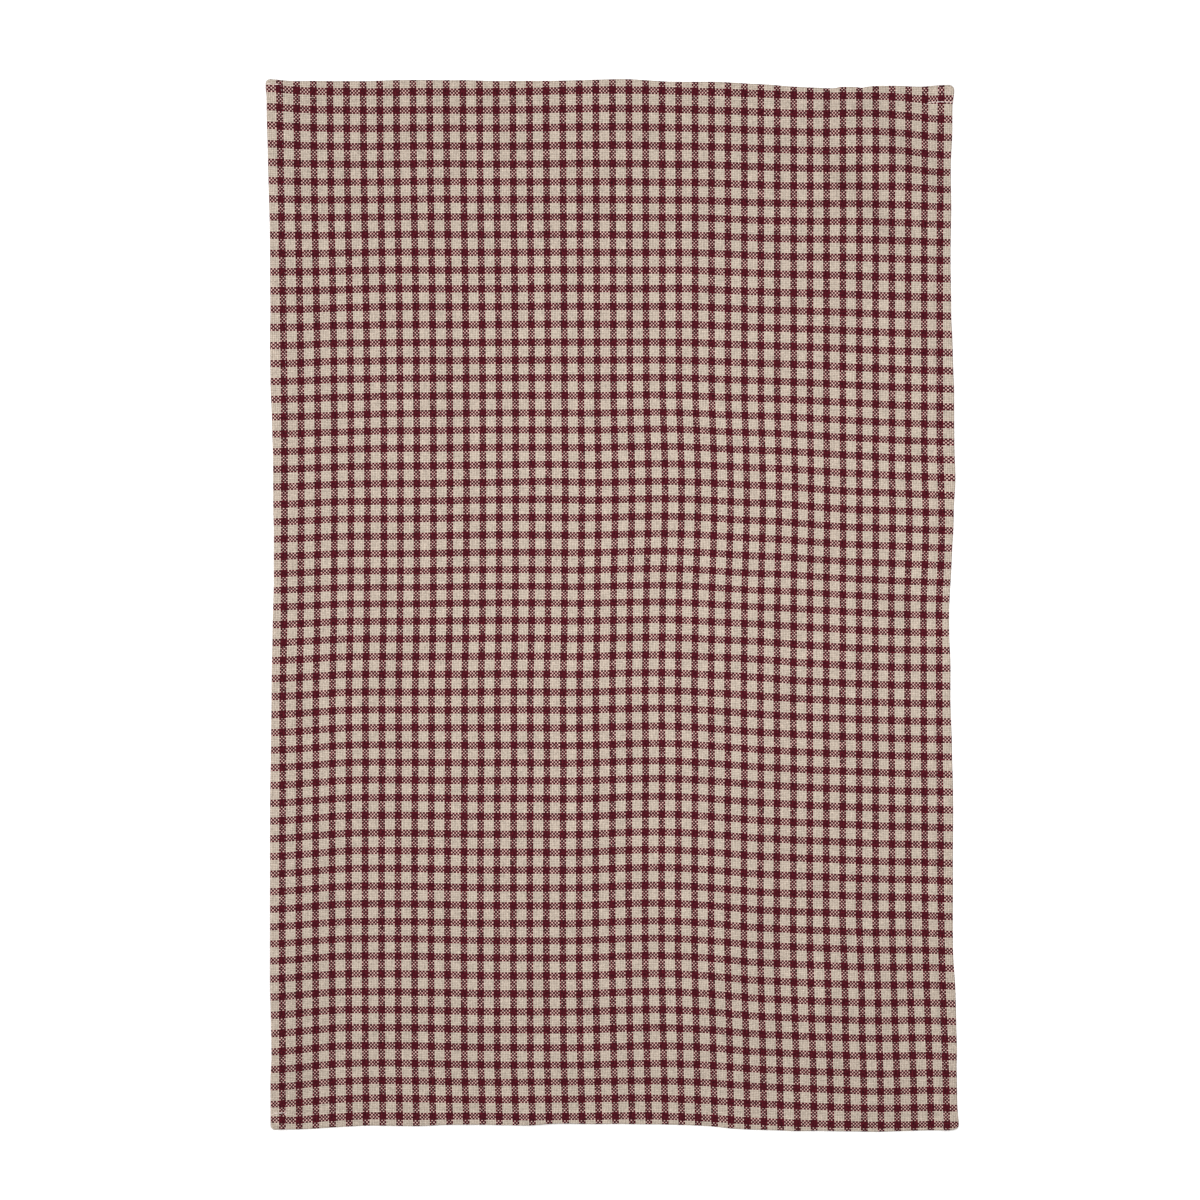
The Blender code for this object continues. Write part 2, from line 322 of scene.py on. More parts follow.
def stations(size, hem):
    """Grid lines over a size, about its middle: close together at each hem, then about a cell apart."""
    step = hem + STEP_START
    near = [EDGE_ROUND, *EDGE_LINES, *(hem - SEAM_IN + line for line in SEAM_LINES), step, step + HEM_STEP]
    near += [hem + line for line in FALL_LINES]
    open_cloth = size - 2 * near[-1]
    cells = round(open_cloth / CELL)
    middle = [near[-1] + open_cloth * i / cells for i in range(1, cells)]
    return np.array(near + middle + [size - at for at in reversed(near)]) - size / 2


def rounded_corners(across, along, radius):
    """Turns the grid's square corners into round ones."""
    in_x, in_y = WIDTH / 2 - CORNER_ROUND, LENGTH / 2 - CORNER_ROUND
    p, q = np.abs(across) - in_x, np.abs(along) - in_y
    corner = (p > 0) & (q > 0)
    u, v = np.clip(p / radius, 0, 1), np.clip(q / radius, 0, 1)
    x = np.where(corner, np.sign(across) * (in_x + p * np.sqrt(1 - v * v / 2)), across)
    y = np.where(corner, np.sign(along) * (in_y + q * np.sqrt(1 - u * u / 2)), along)
    return x, y


def top_height(across, along):
    """Height of the upper face: the layers, the folds, the seams' dents and the cloth's own unevenness."""
    inside_side, inside_end = WIDTH / 2 - np.abs(across), LENGTH / 2 - np.abs(along)
    side = 1 - ease((inside_side - SIDE_HEM) / HEM_FALL)
    end = 1 - ease((inside_end - END_HEM) / HEM_FALL)
    side_there = 1 - ease((inside_side - SIDE_HEM + CORNER_SHORT) / CORNER_FALL)
    end_there = 1 - ease((inside_end - END_HEM + CORNER_SHORT) / CORNER_FALL)
    height = LAYER + (HEM - LAYER) * np.maximum(side, end)
    height = height + (CORNER - HEM) * np.minimum(side_there, end_there)
    for inside, hem in ((inside_side, SIDE_HEM), (inside_end, END_HEM)):
        away = np.abs(inside - (hem - SEAM_IN))
        height = height - SEAM_DENT * swell(away / SEAM_DENT_WIDTH)
        along_seam = along if hem == SIDE_HEM else across
        drift = PUCKER_DRIFT * np.sin(along_seam / PUCKER_DRIFT_LENGTH)
        pucker = np.sin(along_seam * 2 * math.pi / PUCKER_PITCH + drift) * 0.5 + 0.5
        puffed = swell((inside - hem * PUFF_MIDDLE) / (hem * PUFF_REACH))
        height = height + puffed * (PUFF + PUCKER * pucker)
    return height + lift(across, along) + crumple(across, along)


def under_height(across, along, top):
    """Height of the underside: under the hems it lies on the surface, and the seams draw a groove into it."""
    inside_side, inside_end = WIDTH / 2 - np.abs(across), LENGTH / 2 - np.abs(along)
    side, end = inside_side < SIDE_HEM + STEP_MIDDLE, inside_end < END_HEM + STEP_MIDDLE
    layers = np.where(side & end, CORNER, np.where(side | end, HEM, LAYER))
    groove = np.maximum(swell(np.abs(inside_side - SIDE_HEM + SEAM_IN) / SEAM_DENT_WIDTH),
                        swell(np.abs(inside_end - END_HEM + SEAM_IN) / SEAM_DENT_WIDTH))
    return np.maximum(top - layers, CLEAR) + UNDER_DENT * groove


def outer_ring(wide, high):
    """Rows and columns of the grid's outer ring, anticlockwise from the lower left corner."""
    ring = ([(0, c) for c in range(wide - 1)] + [(r, wide - 1) for r in range(high - 1)]
            + [(high - 1, c) for c in range(wide - 1, 0, -1)] + [(r, 0) for r in range(high - 1, 0, -1)])
    return np.array(ring).T


def outward(across, along):
    """The direction straight out of the towel at a place on its rim."""
    out_x = np.sign(across) * np.maximum(np.abs(across) - (WIDTH / 2 - CORNER_ROUND), 0)
    out_y = np.sign(along) * np.maximum(np.abs(along) - (LENGTH / 2 - CORNER_ROUND), 0)
    length = np.hypot(out_x, out_y)
    return out_x / length, out_y / length


def grid_cells(wide, high):
    return [(r, c) for r in range(high - 1) for c in range(wide - 1)]


def skin(name, verts, faces, places):
    """A mesh object whose map holds the place on the flat cloth of each corner of each face."""
    mesh = bpy.data.meshes.new(name)
    mesh.from_pydata(verts.tolist(), [], faces)
    across, along = np.array([place for face in places for place in face]).T
    threads_across = (across / PITCH_ACROSS + (STRIPES_ACROSS - 1) / 2) * THREADS
    threads_along = (along / PITCH_ALONG + (STRIPES_ALONG - 1) / 2) * THREADS
    layer = mesh.uv_layers.new(name=MAP)
    uv = np.stack([threads_across, threads_along], 1) / MAP_THREADS
    layer.data.foreach_set("uv", uv.astype(np.float32).ravel())
    mesh.polygons.foreach_set("use_smooth", [True] * len(mesh.polygons))
    mesh.update()
    piece = bpy.data.objects.new(name, mesh)
    bpy.context.scene.collection.objects.link(piece)
    return piece


def make_cloth():
    columns, rows = stations(WIDTH, SIDE_HEM), stations(LENGTH, END_HEM)
    across, along = np.meshgrid(columns, rows)
    wide, high = len(columns), len(rows)
    top = top_height(across, along)
    under = under_height(across, along, top)
    laid_across, laid_along = rounded_corners(across, along, CORNER_ROUND - EDGE_ROUND)
    x, y = pulled(laid_across, laid_along)

    ring = tuple(outer_ring(wide, high))
    rim_x, rim_y = laid_across[ring], laid_along[ring]
    out_x, out_y = outward(rim_x, rim_y)
    rim_top, rim_under = top[ring], under[ring]
    loops = []
    for step in range(1, RIM_STEPS):
        turn = math.pi * step / RIM_STEPS
        reach = EDGE_ROUND * math.sin(turn) ** EDGE_FULLNESS
        loop_x, loop_y = pulled(rim_x + out_x * reach, rim_y + out_y * reach)
        loop_z = (rim_top + rim_under) / 2 + (rim_top - rim_under) / 2 * math.cos(turn)
        loops.append(np.stack([loop_x, loop_y, loop_z], 1))

    upper = np.stack([x.ravel(), y.ravel(), top.ravel()], 1)
    lower = np.stack([x.ravel(), y.ravel(), under.ravel()], 1)
    verts = np.concatenate([upper] + loops + [lower]) * MM

    # Faces, and for each corner of each one its place on the flat cloth. First the upper face:
    cloth_across, cloth_along = in_weave(across, along)
    faces, places = [], []
    for r, c in grid_cells(wide, high):
        corners = ((r, c), (r, c + 1), (r + 1, c + 1), (r + 1, c))
        faces.append([i * wide + j for i, j in corners])
        places.append([(cloth_across[i, j], cloth_along[i, j]) for i, j in corners])

    # the folded edge, from the upper face's rim by way of the loops to the underside's
    rim = len(ring[0])
    rim_ids = ring[0] * wide + ring[1]
    below = len(upper) + len(loops) * rim
    wrap = [rim_ids] + [len(upper) + k * rim + np.arange(rim) for k in range(len(loops))] + [below + rim_ids]
    flat_x, flat_y = cloth_across[ring], cloth_along[ring]
    roll = EDGE_ROUND * math.pi
    for k in range(RIM_STEPS):
        for n in range(rim):
            m = (n + 1) % rim
            faces.append([int(wrap[k][n]), int(wrap[k + 1][n]), int(wrap[k + 1][m]), int(wrap[k][m])])
            outs = [(at, roll * step / RIM_STEPS) for at, step in ((n, k), (n, k + 1), (m, k + 1), (m, k))]
            places.append([(flat_x[at] + out_x[at] * out, flat_y[at] + out_y[at] * out) for at, out in outs])

    # and the underside, where a hem's turned face goes on past its folded edge
    edge_across, edge_along = in_weave(np.sign(across) * WIDTH / 2, np.sign(along) * LENGTH / 2)
    side_out = edge_across - np.sign(across) * WIDTH / 2
    end_out = edge_along - np.sign(along) * LENGTH / 2
    for r, c in grid_cells(wide, high):
        corners = ((r, c), (r + 1, c), (r + 1, c + 1), (r, c + 1))
        faces.append([below + i * wide + j for i, j in corners])
        mid_x, mid_y = (across[r, c] + across[r, c + 1]) / 2, (along[r, c] + along[r + 1, c]) / 2
        if LENGTH / 2 - abs(mid_y) < END_HEM + STEP_MIDDLE:
            edge = math.copysign(LENGTH - 2 * EDGE_ROUND + roll, mid_y)
            spots = [(cloth_across[i, j], edge - along[i, j] + end_out[i, j]) for i, j in corners]
        elif WIDTH / 2 - abs(mid_x) < SIDE_HEM + STEP_MIDDLE:
            edge = math.copysign(WIDTH - 2 * EDGE_ROUND + roll, mid_x)
            spots = [(edge - across[i, j] + side_out[i, j], cloth_along[i, j]) for i, j in corners]
        else:
            spots = [(cloth_across[i, j], cloth_along[i, j]) for i, j in corners]
        places.append([(a + ASIDE, b) for a, b in spots])
    return skin("checked_cloth", verts, faces, places)


# ----------------------------------------------------------------------------------------------------------
# The stitching: one row to each hem, close to its inner edge, seen on both faces.
STITCH_PITCH, STITCH_LENGTH, THREAD_WIDTH = 3.0, 2.5, 0.42  # mm
SUNK = 0.15  # how far a stitch's middle lies in the cloth where it is drawn tight
PROUD = 0.22  # and over the cloth where it is slack
TIGHT_WIDER, SLACK_WIDER, SLACK_LONGER = 0.8, 1.7, 1.25  # a stitch's size against the above, tight and slack
STITCH_SWAY = 0.13  # most that a stitch is turned out of its row, in radians
BEAD_SEGMENTS, BEAD_RINGS = 8, 6  # of each stitch
SIDE_POINTS, END_POINTS = 480, 310  # along a row
UNDER_ROW_SHORT = 1.5  # underneath, the side rows end this far short of the end hems, which cover the rest

# A tack in the top left corner, from start to end across.
TACK_START, TACK_END, TACK_ALONG, TACK_POINTS = -228, -223, 349.0, 12

# Where the thread is slack and shows, in mm along that edge's row, and how far the row runs nearer the edge
# there. On both sides of such a place the thread is tight again within the fade.
Slack = namedtuple("Slack", "edge start end nearer")
SLACKS = (
    Slack("top", 215, 232, 1.6),
    Slack("corner tack", -230, -221, 0.0),
    Slack("bottom", -226, -221, -1.3),
)
SLACK_FADE = 3.0


def seam_paths():
    """Each row as places on the even towel: (edge, across, along, on the upper face)."""
    side, end = WIDTH / 2 - SIDE_HEM + SEAM_IN, LENGTH / 2 - END_HEM + SEAM_IN
    to_side, to_end = WIDTH / 2 - EDGE_ROUND, LENGTH / 2 - EDGE_ROUND
    inner_end = LENGTH / 2 - END_HEM - UNDER_ROW_SHORT
    for upper in (True, False):
        reach_along = to_end if upper else inner_end
        run_along = np.linspace(-reach_along, reach_along, SIDE_POINTS)
        run_across = np.linspace(-to_side, to_side, END_POINTS)
        yield "left", np.full(SIDE_POINTS, -side), run_along, upper
        yield "right", np.full(SIDE_POINTS, side), run_along, upper
        yield "bottom", run_across, np.full(END_POINTS, -end), upper
        yield "top", run_across, np.full(END_POINTS, end), upper
    tack = np.linspace(TACK_START, TACK_END, TACK_POINTS)
    yield "corner tack", tack, np.full(TACK_POINTS, TACK_ALONG), True


def make_seam_lines():
    """The rows as chains of edges on the cloth, each with how slack its thread is."""
    verts, edges, slack = [], [], []
    for edge, across, along, upper in seam_paths():
        at = along if edge in ("left", "right") else across
        loose = np.zeros_like(at)
        for place in SLACKS:
            if place.edge == edge and upper:
                away = np.maximum(place.start - at, at - place.end)
                here = 1 - ease(away / SLACK_FADE)
                loose = np.maximum(loose, here)
                along = along + np.sign(along) * place.nearer * here
        x, y = pulled(across, along)
        top = top_height(across, along)
        height = top + PROUD * loose - SUNK * (1 - loose) if upper else under_height(across, along, top)
        first = len(verts)
        verts += [(px * MM, py * MM, pz * MM) for px, py, pz in zip(x, y, height)]
        edges += [(first + i, first + i + 1) for i in range(len(at) - 1)]
        slack += loose.tolist()
    mesh = bpy.data.meshes.new("seam_lines")
    mesh.from_pydata(verts, edges, [])
    mesh.attributes.new("slack", "FLOAT", "POINT").data.foreach_set("value", slack)
    lines = bpy.data.objects.new("seam_lines", mesh)
    bpy.context.scene.collection.objects.link(lines)
    return lines


class Tree:
    """A Geometry Nodes tree with named inputs."""

    def __init__(self, name, **inputs):
        self.tree = bpy.data.node_groups.new(name, "GeometryNodeTree")
        self.tree.interface.new_socket("Geometry", in_out="INPUT", socket_type="NodeSocketGeometry")
        self.values = {}
        for title, value in inputs.items():
            kind = "NodeSocketInt" if isinstance(value, int) else "NodeSocketFloat"
            socket = self.tree.interface.new_socket(title.replace("_", " "), in_out="INPUT", socket_type=kind)
            self.values[socket.identifier] = value
        self.tree.interface.new_socket("Geometry", in_out="OUTPUT", socket_type="NodeSocketGeometry")
        self.start = self.tree.nodes.new("NodeGroupInput").outputs
        self.end = self.tree.nodes.new("NodeGroupOutput").inputs

    def node(self, kind, settings=(), values=()):
        made = self.tree.nodes.new(kind)
        for name, value in dict(settings).items():
            setattr(made, name, value)
        for name, value in dict(values).items():
            if isinstance(value, bpy.types.NodeSocket):
                self.tree.links.new(value, made.inputs[name])
            else:
                made.inputs[name].default_value = value
        return made.outputs

    def grow(self, base, name):
        """The tree's result on an object, as a plain mesh object in its stead."""
        modifier = base.modifiers.new(name, "NODES")
        modifier.node_group = self.tree
        for identifier, value in self.values.items():
            modifier[identifier] = value
        graph = bpy.context.evaluated_depsgraph_get()
        mesh = bpy.data.meshes.new_from_object(base.evaluated_get(graph), depsgraph=graph)
        mesh.name = name
        grown = bpy.data.objects.new(name, mesh)
        bpy.context.scene.collection.objects.link(grown)
        base.modifiers.remove(modifier)
        bpy.data.objects.remove(base, do_unlink=True)
        return grown


def make_stitching(thread):
    """A stretched bead for each stitch, at even steps along the rows."""
    tree = Tree("hem_stitching", Stitch_pitch=STITCH_PITCH * MM, Stitch_length=STITCH_LENGTH * MM,
                Thread_width=THREAD_WIDTH * MM, Seed=7)
    start = tree.start
    rows = tree.node("GeometryNodeMeshToCurve", {}, {"Mesh": start["Geometry"]})["Curve"]
    places = tree.node("GeometryNodeResampleCurve", {"mode": "LENGTH"},
                       {"Curve": rows, "Length": start["Stitch pitch"]})["Curve"]
    tangent = tree.node("GeometryNodeInputTangent")["Tangent"]
    along_row = tree.node("FunctionNodeAlignRotationToVector", {"axis": "X"}, {"Vector": tangent})["Rotation"]
    sway = tree.node("FunctionNodeRandomValue", {"data_type": "FLOAT"},
                     {2: -STITCH_SWAY, 3: STITCH_SWAY, "Seed": start["Seed"]})[1]
    sideways = tree.node("ShaderNodeCombineXYZ", {}, {"Z": sway})["Vector"]
    turned = tree.node("FunctionNodeRotateRotation", {"rotation_space": "LOCAL"},
                       {"Rotation": along_row, "Rotate By": sideways})["Rotation"]
    bead = tree.node("GeometryNodeMeshUVSphere", {},
                     {"Segments": BEAD_SEGMENTS, "Rings": BEAD_RINGS, "Radius": 0.5})["Mesh"]
    slack = tree.node("GeometryNodeInputNamedAttribute", {"data_type": "FLOAT"},
                      {"Name": "slack"})["Attribute"]
    wider = tree.node("ShaderNodeMapRange", {},
                      {"Value": slack, "To Min": TIGHT_WIDER, "To Max": SLACK_WIDER})["Result"]
    longer = tree.node("ShaderNodeMapRange", {},
                       {"Value": slack, "To Min": 1.0, "To Max": SLACK_LONGER})["Result"]
    length = tree.node("ShaderNodeMath", {"operation": "MULTIPLY"},
                       {0: start["Stitch length"], 1: longer})["Value"]
    width = tree.node("ShaderNodeMath", {"operation": "MULTIPLY"},
                      {0: start["Thread width"], 1: wider})["Value"]
    size = tree.node("ShaderNodeCombineXYZ", {}, {"X": length, "Y": width, "Z": width})["Vector"]
    stitches = tree.node("GeometryNodeInstanceOnPoints", {},
                         {"Points": places, "Instance": bead, "Rotation": turned, "Scale": size})["Instances"]
    real = tree.node("GeometryNodeRealizeInstances", {}, {"Geometry": stitches})["Geometry"]
    smooth = tree.node("GeometryNodeSetShadeSmooth", {}, {"Geometry": real})["Geometry"]
    done = tree.node("GeometryNodeSetMaterial", {}, {"Geometry": smooth, "Material": thread})["Geometry"]
    tree.tree.links.new(done, tree.end["Geometry"])
    return tree.grow(make_seam_lines(), "hem_stitching")


# ----------------------------------------------------------------------------------------------------------
# Finishes

class Amount:
    """A number that varies over a surface: maths on it adds Math nodes."""

    def __init__(self, finish, socket):
        self.finish, self.socket = finish, socket

    def maths(self, operation, *others):
        values = dict(enumerate((self,) + others))
        return self.finish.node("ShaderNodeMath", {"operation": operation}, values)

    def __add__(self, other):
        return self.maths("ADD", other)

    def __radd__(self, other):
        return self.maths("ADD", other)

    def __sub__(self, other):
        return self.maths("SUBTRACT", other)

    def __rsub__(self, other):
        return self.finish.node("ShaderNodeMath", {"operation": "SUBTRACT"}, {0: other, 1: self})

    def __mul__(self, other):
        return self.maths("MULTIPLY", other)

    def __rmul__(self, other):
        return self.maths("MULTIPLY", other)

    def __truediv__(self, other):
        return self.maths("DIVIDE", other)

    def __lt__(self, other):
        return self.maths("LESS_THAN", other)

    def floor(self):
        return self.maths("FLOOR")

    def part(self):
        """What is left above the whole number."""
        return self.maths("FRACT")

    def wave(self):
        return self.maths("COSINE")

    def most(self, other):
        return self.maths("MAXIMUM", other)

    def rise(self, start, end):
        """0 up to start, 1 from end on, smooth between."""
        return self.finish.node("ShaderNodeMapRange", {"interpolation_type": "SMOOTHSTEP"},
                                {"Value": self, "From Min": start, "From Max": end})

    def pick(self, low, high):
        """low where this is 0, high where it is 1."""
        return low + (high - low) * self


class Finish:
    """A material, made through one method that adds a node."""

    def __init__(self, name, roughness, **plain):
        self.material = bpy.data.materials.new(name)
        self.material.use_nodes = True
        self.tree = self.material.node_tree
        self.tree.nodes.clear()
        self.shader = self.tree.nodes.new("ShaderNodeBsdfPrincipled")
        output = self.tree.nodes.new("ShaderNodeOutputMaterial")
        self.tree.links.new(self.shader.outputs[0], output.inputs["Surface"])
        self.shader.inputs["Roughness"].default_value = roughness
        for socket, value in plain.items():
            self.shader.inputs[socket.replace("_", " ")].default_value = value

    def node(self, kind, settings=(), values=(), output=0):
        made = self.tree.nodes.new(kind)
        for name, value in dict(settings).items():
            setattr(made, name, value)
        for name, value in dict(values).items():
            self.feed(made.inputs[name], value)
        return Amount(self, made.outputs[output])

    def feed(self, socket, value):
        if isinstance(value, Amount):
            self.tree.links.new(value.socket, socket)
        else:
            socket.default_value = value

    def mix(self, share, first, second):
        """Colour between two colours."""
        return self.node("ShaderNodeMix", {"data_type": "RGBA", "clamp_factor": True},
                         {0: share, 6: first, 7: second}, output=2)

    def tint(self, colour, strength):
        """A colour times a number."""
        return self.node("ShaderNodeVectorMath", {"operation": "SCALE"}, {0: colour, "Scale": strength})

    def shine(self, socket, value):
        self.feed(self.shader.inputs[socket], value)


# The yarns: how full each stands, how far a thread rises and falls, and their colours on the crown and, as
# painted shade, down between the threads. These were searched for against the cloth's mean colours and then
# adjusted.
# Beige yarn is thin enough to let burgundy beneath it show through.
BEIGE_FULL, BURGUNDY_FULL, WARP_UP = 0.565, 1.43, 0.08
WAVE = 0.70
PAINTED_SHADE_BELOW, CROWN = 0.3, 1.08  # heights up to which a thread has its painted shade colour, and from which its full one
CROSSING = 0.06  # how near two threads' heights are where one gives way to the other
# The deep colours below are painted shade: the darkness down between the threads, where they shade one
# another.
BEIGE, BEIGE_PAINTED_SHADE = (0.567, 0.484, 0.403, 1), (0.365, 0.283, 0.221, 1)
BEIGE_OVER_BURGUNDY, BEIGE_OVER_BURGUNDY_PAINTED_SHADE = (0.652, 0.424, 0.377, 1), (0.060, 0.062, 0.052, 1)
BURGUNDY, BURGUNDY_PAINTED_SHADE = (0.0735, 0.0045, 0.0098, 1), (0.0025, 0.0012, 0.006, 1)

# How uneven the cloth is: the strength of each kind, and how many lumps of it there are to a thread.
SLACK_UNEVEN, SLACK_LUMPS = 1.0, 0.42  # warp slacker than weft here and there, or the other way round
ROW_UNEVEN, ROW_LUMPS_ACROSS, ROW_LUMPS_ALONG = 0.2, 0.004, 0.11  # the same in long rows
THREAD_UNEVEN, THREAD_LUMPS, LENGTH_LUMPS = 0.58, 0.77, 0.22  # light and dark, across the threads and along
PATCH_UNEVEN, PATCH_LUMPS = 0.16, 0.055  # light and dark in patches
BEIGE_FLECK, BURGUNDY_FLECK, FLECK_LUMPS = 0.6, 2.0, 0.9  # spun-in flecks
LUMP_ROUGHNESS = 0.6
DARKEST = 0.3  # of the yarn's colour
VALLEY_ROUGHNESS, CROWN_SMOOTHER = 0.97, 0.08
RELIEF, RELIEF_STRENGTH, STREAK_RELIEF = 0.28 * MM, 0.55, 0.35  # of the threads


def uneven(finish, across, along, detail=1.0):
    """Soft noise about 0 over the threads. What is added to across or along takes it from another place."""
    spot = finish.node("ShaderNodeCombineXYZ", {}, {0: across, 1: along})
    return finish.node("ShaderNodeTexNoise", {"noise_dimensions": "2D"},
                       {"Vector": spot, "Scale": 1.0, "Detail": detail, "Roughness": LUMP_ROUGHNESS}) - 0.5


def plain_weave(finish):
    """The threads as they cross: which one is on top, how high it stands, and where the upper and the lower
    one are burgundy."""
    spot = finish.node("ShaderNodeUVMap", {"uv_map": MAP})
    a = finish.node("ShaderNodeSeparateXYZ", {}, {0: spot}, output=0) * MAP_THREADS
    b = finish.node("ShaderNodeSeparateXYZ", {}, {0: spot}, output=1) * MAP_THREADS
    warp, weft = a.floor(), b.floor()  # number of the thread here
    beside_warp, beside_weft = (a - warp - 0.5) * 2, (b - weft - 0.5) * 2  # -1 to 1 across it
    odd_warp, odd_weft = (warp * 0.5).part() * 4 - 1, (weft * 0.5).part() * 4 - 1  # -1 or 1
    # a thread rises and falls once every two crossings, and neighbours do it in turn
    warp_wave = ((b - 0.5) * math.pi).wave() * odd_warp
    weft_wave = ((a - 0.5) * math.pi).wave() * odd_weft * -1
    burgundy_warp = ((a + BURGUNDY_THREADS / 2) / THREADS).part() < BURGUNDY_THREADS / THREADS
    burgundy_weft = ((b + BURGUNDY_THREADS / 2) / THREADS).part() < BURGUNDY_THREADS / THREADS
    full_warp = burgundy_warp.pick(BEIGE_FULL + WARP_UP, BURGUNDY_FULL + WARP_UP)
    full_weft = burgundy_weft.pick(BEIGE_FULL - WARP_UP, BURGUNDY_FULL - WARP_UP)
    slack = uneven(finish, a * SLACK_LUMPS + 11, b * SLACK_LUMPS + 5, detail=2.0) * SLACK_UNEVEN
    slack = slack + uneven(finish, a * ROW_LUMPS_ACROSS, b * ROW_LUMPS_ALONG + 40) * ROW_UNEVEN
    warp_height = full_warp * (1 - beside_warp * beside_warp) + warp_wave * WAVE + slack
    weft_height = full_weft * (1 - beside_weft * beside_weft) + weft_wave * WAVE - slack
    warp_on_top = (warp_height - weft_height).rise(-CROSSING, CROSSING)
    height = warp_height.most(weft_height)
    burgundy = burgundy_warp * warp_on_top + burgundy_weft * (1 - warp_on_top)
    beneath = burgundy_weft * warp_on_top + burgundy_warp * (1 - warp_on_top)
    return a, b, warp_on_top, height, burgundy, beneath


def cloth_finish():
    finish = Finish("checked_cotton", roughness=0.92, Sheen_Weight=0.03, Sheen_Roughness=0.5,
                    Specular_IOR_Level=0.12)
    a, b, warp_on_top, height, burgundy, beneath = plain_weave(finish)

    # uneven spinning and dyeing: each thread is lighter and darker by turns along its length, the cloth in
    # patches, and the yarn in flecks, which show most in the burgundy
    warp_streak = uneven(finish, a.floor() * THREAD_LUMPS, b * LENGTH_LUMPS)
    weft_streak = uneven(finish, a * LENGTH_LUMPS, b.floor() * THREAD_LUMPS + 31)
    streak = warp_streak * warp_on_top + weft_streak * (1 - warp_on_top)
    patch = uneven(finish, a * PATCH_LUMPS, b * PATCH_LUMPS, detail=3.0)
    fleck = uneven(finish, a * FLECK_LUMPS + 3, b * FLECK_LUMPS + 17)
    fleck = fleck * burgundy.pick(BEIGE_FLECK, BURGUNDY_FLECK)
    shade = (1 + streak * THREAD_UNEVEN + patch * PATCH_UNEVEN + fleck).most(DARKEST)

    # Down between the threads each yarn takes its painted shade colour, and on the crown its own colour.
    crown = height.rise(PAINTED_SHADE_BELOW, CROWN)
    beige = finish.mix(beneath, finish.mix(crown, BEIGE_PAINTED_SHADE, BEIGE),
                       finish.mix(crown, BEIGE_OVER_BURGUNDY_PAINTED_SHADE, BEIGE_OVER_BURGUNDY))
    colour = finish.mix(burgundy, beige, finish.mix(crown, BURGUNDY_PAINTED_SHADE, BURGUNDY))
    finish.shine("Base Color", finish.tint(colour, shade))
    finish.shine("Roughness", VALLEY_ROUGHNESS - CROWN_SMOOTHER * crown)
    relief = height + streak * STREAK_RELIEF
    finish.shine("Normal", finish.node("ShaderNodeBump", {}, {
        "Strength": RELIEF_STRENGTH, "Distance": RELIEF, "Height": relief}))
    return finish.material


THREAD_DARK, THREAD_LIGHT = (0.74, 0.56, 0.52, 1), (0.95, 0.85, 0.81, 1)
THREAD_FLECKS, THREAD_RELIEF, THREAD_RELIEF_STRENGTH = 900.0, 0.1 * MM, 0.4


def thread_finish():
    finish = Finish("hem_thread", roughness=0.75)
    spot = finish.node("ShaderNodeTexCoord", {}, {}, output=3)
    fleck = finish.node("ShaderNodeTexNoise", {}, {"Vector": spot, "Scale": THREAD_FLECKS, "Detail": 2.0})
    finish.shine("Base Color", finish.mix(fleck, THREAD_DARK, THREAD_LIGHT))
    finish.shine("Normal", finish.node("ShaderNodeBump", {}, {
        "Strength": THREAD_RELIEF_STRENGTH, "Distance": THREAD_RELIEF, "Height": fleck}))
    return finish.material


WHITE, FLOOR_COLOUR, FLOOR_GLOW = (1, 1, 1, 1), (0.95, 0.95, 0.95, 1), 0.35


def floor_finish():
    """Plain and pale. It glows a little, so that it stays white around the cloth."""
    finish = Finish("pale_floor", roughness=0.9, Specular_IOR_Level=0.0, Emission_Strength=FLOOR_GLOW)
    finish.shine("Base Color", FLOOR_COLOUR)
    finish.shine("Emission Color", WHITE)
    return finish.material


# ----------------------------------------------------------------------------------------------------------
# The two pieces: the cloth, and its stitching, which lies on it.

cloth = make_cloth()
cloth.data.materials.append(cloth_finish())
stitching = make_stitching(thread_finish())
for piece in (cloth, stitching):
    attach(piece, "root")
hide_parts("tea_towel")


# ----------------------------------------------------------------------------------------------------------
# Floor, light and camera. The overhead lamp's place was searched for against how the light falls off over the
# cloth and then adjusted.
FLOOR_HALF = 9.0
BACKDROP, ROOM = 0.9, 0.29  # how bright the backdrop is, and the light that it gives
PIXEL_FILTER = 1.3  # in pixels: threads two pixels apart need a narrow one
VIEW_WIDTH, CAMERA_HEIGHT, SENSOR = 0.81, 2.2, 36
CAMERA_ACROSS, CAMERA_ALONG = -0.0088, 0.0058
FACE_HEIGHT = 1.5 * MM  # of the cloth's face, where the view is as wide as said


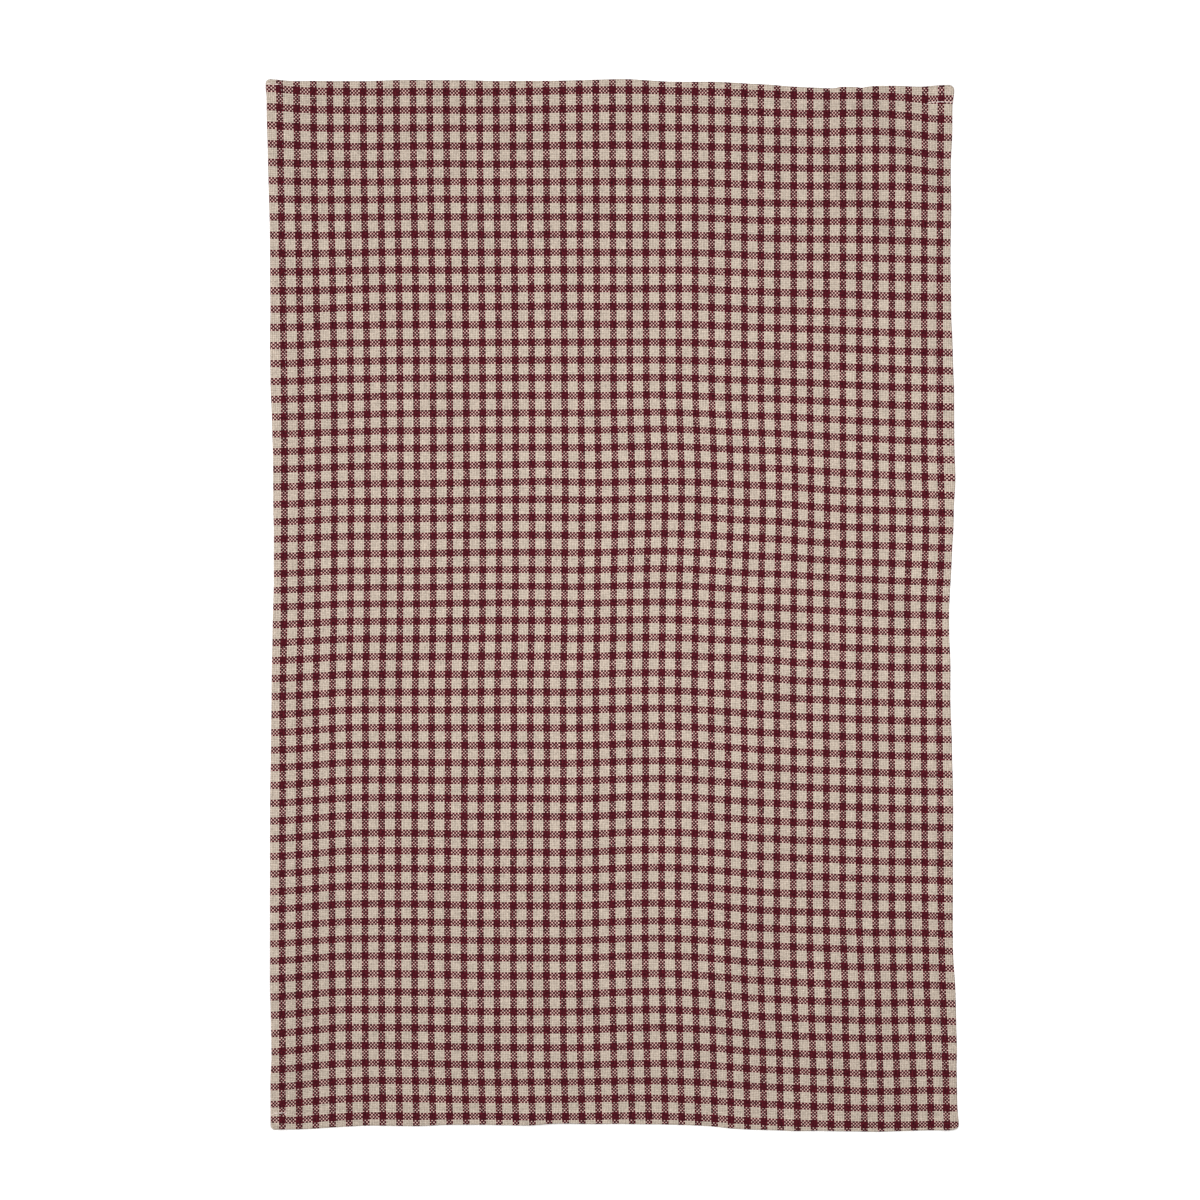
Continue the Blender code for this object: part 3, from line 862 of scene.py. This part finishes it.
def make_floor():
    mesh = bpy.data.meshes.new("floor")
    corners = [(-FLOOR_HALF, -FLOOR_HALF, 0), (FLOOR_HALF, -FLOOR_HALF, 0),
               (FLOOR_HALF, FLOOR_HALF, 0), (-FLOOR_HALF, FLOOR_HALF, 0)]
    mesh.from_pydata(corners, [], [(0, 1, 2, 3)])
    mesh.materials.append(floor_finish())
    floor = bpy.data.objects.new("floor", mesh)
    bpy.context.scene.collection.objects.link(floor)
    return floor


def softbox(name, place, size, power):
    """A round lamp that looks at the origin."""
    light = bpy.data.lights.new(name, "AREA")
    light.shape = "DISK"
    light.size, light.energy = size, power
    lamp = bpy.data.objects.new(name, light)
    lamp.location = place
    lamp.rotation_euler = Vector(place).to_track_quat("Z", "Y").to_euler()
    lamp.visible_camera = False
    bpy.context.scene.collection.objects.link(lamp)


def make_room():
    """A pale backdrop, which lights the room only a little."""
    world = bpy.data.worlds.new("studio")
    world.use_nodes = True
    bpy.context.scene.world = world
    room = world.node_tree
    seen = room.nodes.new("ShaderNodeLightPath").outputs["Is Camera Ray"]
    strength = room.nodes.new("ShaderNodeMapRange")
    strength.inputs["To Min"].default_value = ROOM
    strength.inputs["To Max"].default_value = BACKDROP
    room.links.new(seen, strength.inputs["Value"])
    room.links.new(strength.outputs["Result"], room.nodes["Background"].inputs["Strength"])
    room.nodes["Background"].inputs["Color"].default_value = WHITE


def make_camera():
    data = bpy.data.cameras.new("camera")
    data.sensor_width = SENSOR
    data.lens = SENSOR * CAMERA_HEIGHT / VIEW_WIDTH
    camera = bpy.data.objects.new("camera", data)
    camera.location = (CAMERA_ACROSS, CAMERA_ALONG, CAMERA_HEIGHT + FACE_HEIGHT)
    bpy.context.scene.collection.objects.link(camera)
    bpy.context.scene.camera = camera


make_floor()
softbox("overhead", place=(0.10, 0.06, 1.0), size=0.6, power=8.25)
softbox("window", place=(-2.2, 0.3, 1.5), size=0.9, power=29)
make_room()
make_camera()
bpy.context.scene.view_settings.view_transform = "Standard"
bpy.context.scene.cycles.filter_width = PIXEL_FILTER
bpy.context.scene.cycles.denoising_prefilter = "NONE"  # a denoiser that leaves the threads


def plain(box):
    return [[float(number) for number in corner] for corner in box]
